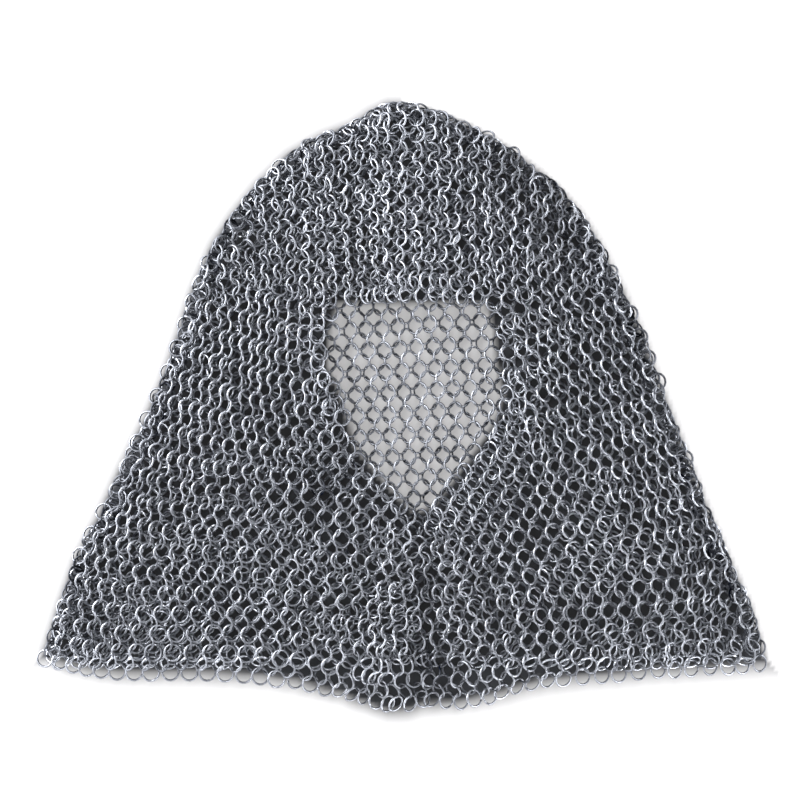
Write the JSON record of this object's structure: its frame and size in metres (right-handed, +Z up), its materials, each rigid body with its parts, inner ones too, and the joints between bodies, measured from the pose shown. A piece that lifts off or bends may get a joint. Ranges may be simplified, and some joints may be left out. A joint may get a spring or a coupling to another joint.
{
  "type": "chainmail coif",
  "caption": "Mail hood laid flat on its back: a rounded crown with a face opening, widening below the chin into a flared shoulder mantle.",
  "frame": {"origin": "on the surface that the coif lies on, under the centre of its outline", "axes": "+Z up from the surface, +Y towards the crown, +X to the right as seen from above with the crown away"},
  "size_m": [0.5052, 0.4262, 0.0172],
  "materials": {
    "mail": "zinc-grey wire rings, worn bright where they rub, dull between"
  },
  "bodies": {
    "root": {"crown_front": "mail", "side_front_left": "mail", "side_front_right": "mail", "back_panel": "mail", "hem_front_left": "mail", "hem_front_right": "mail", "hem_back": "mail"}
  },
  "joints": []
}
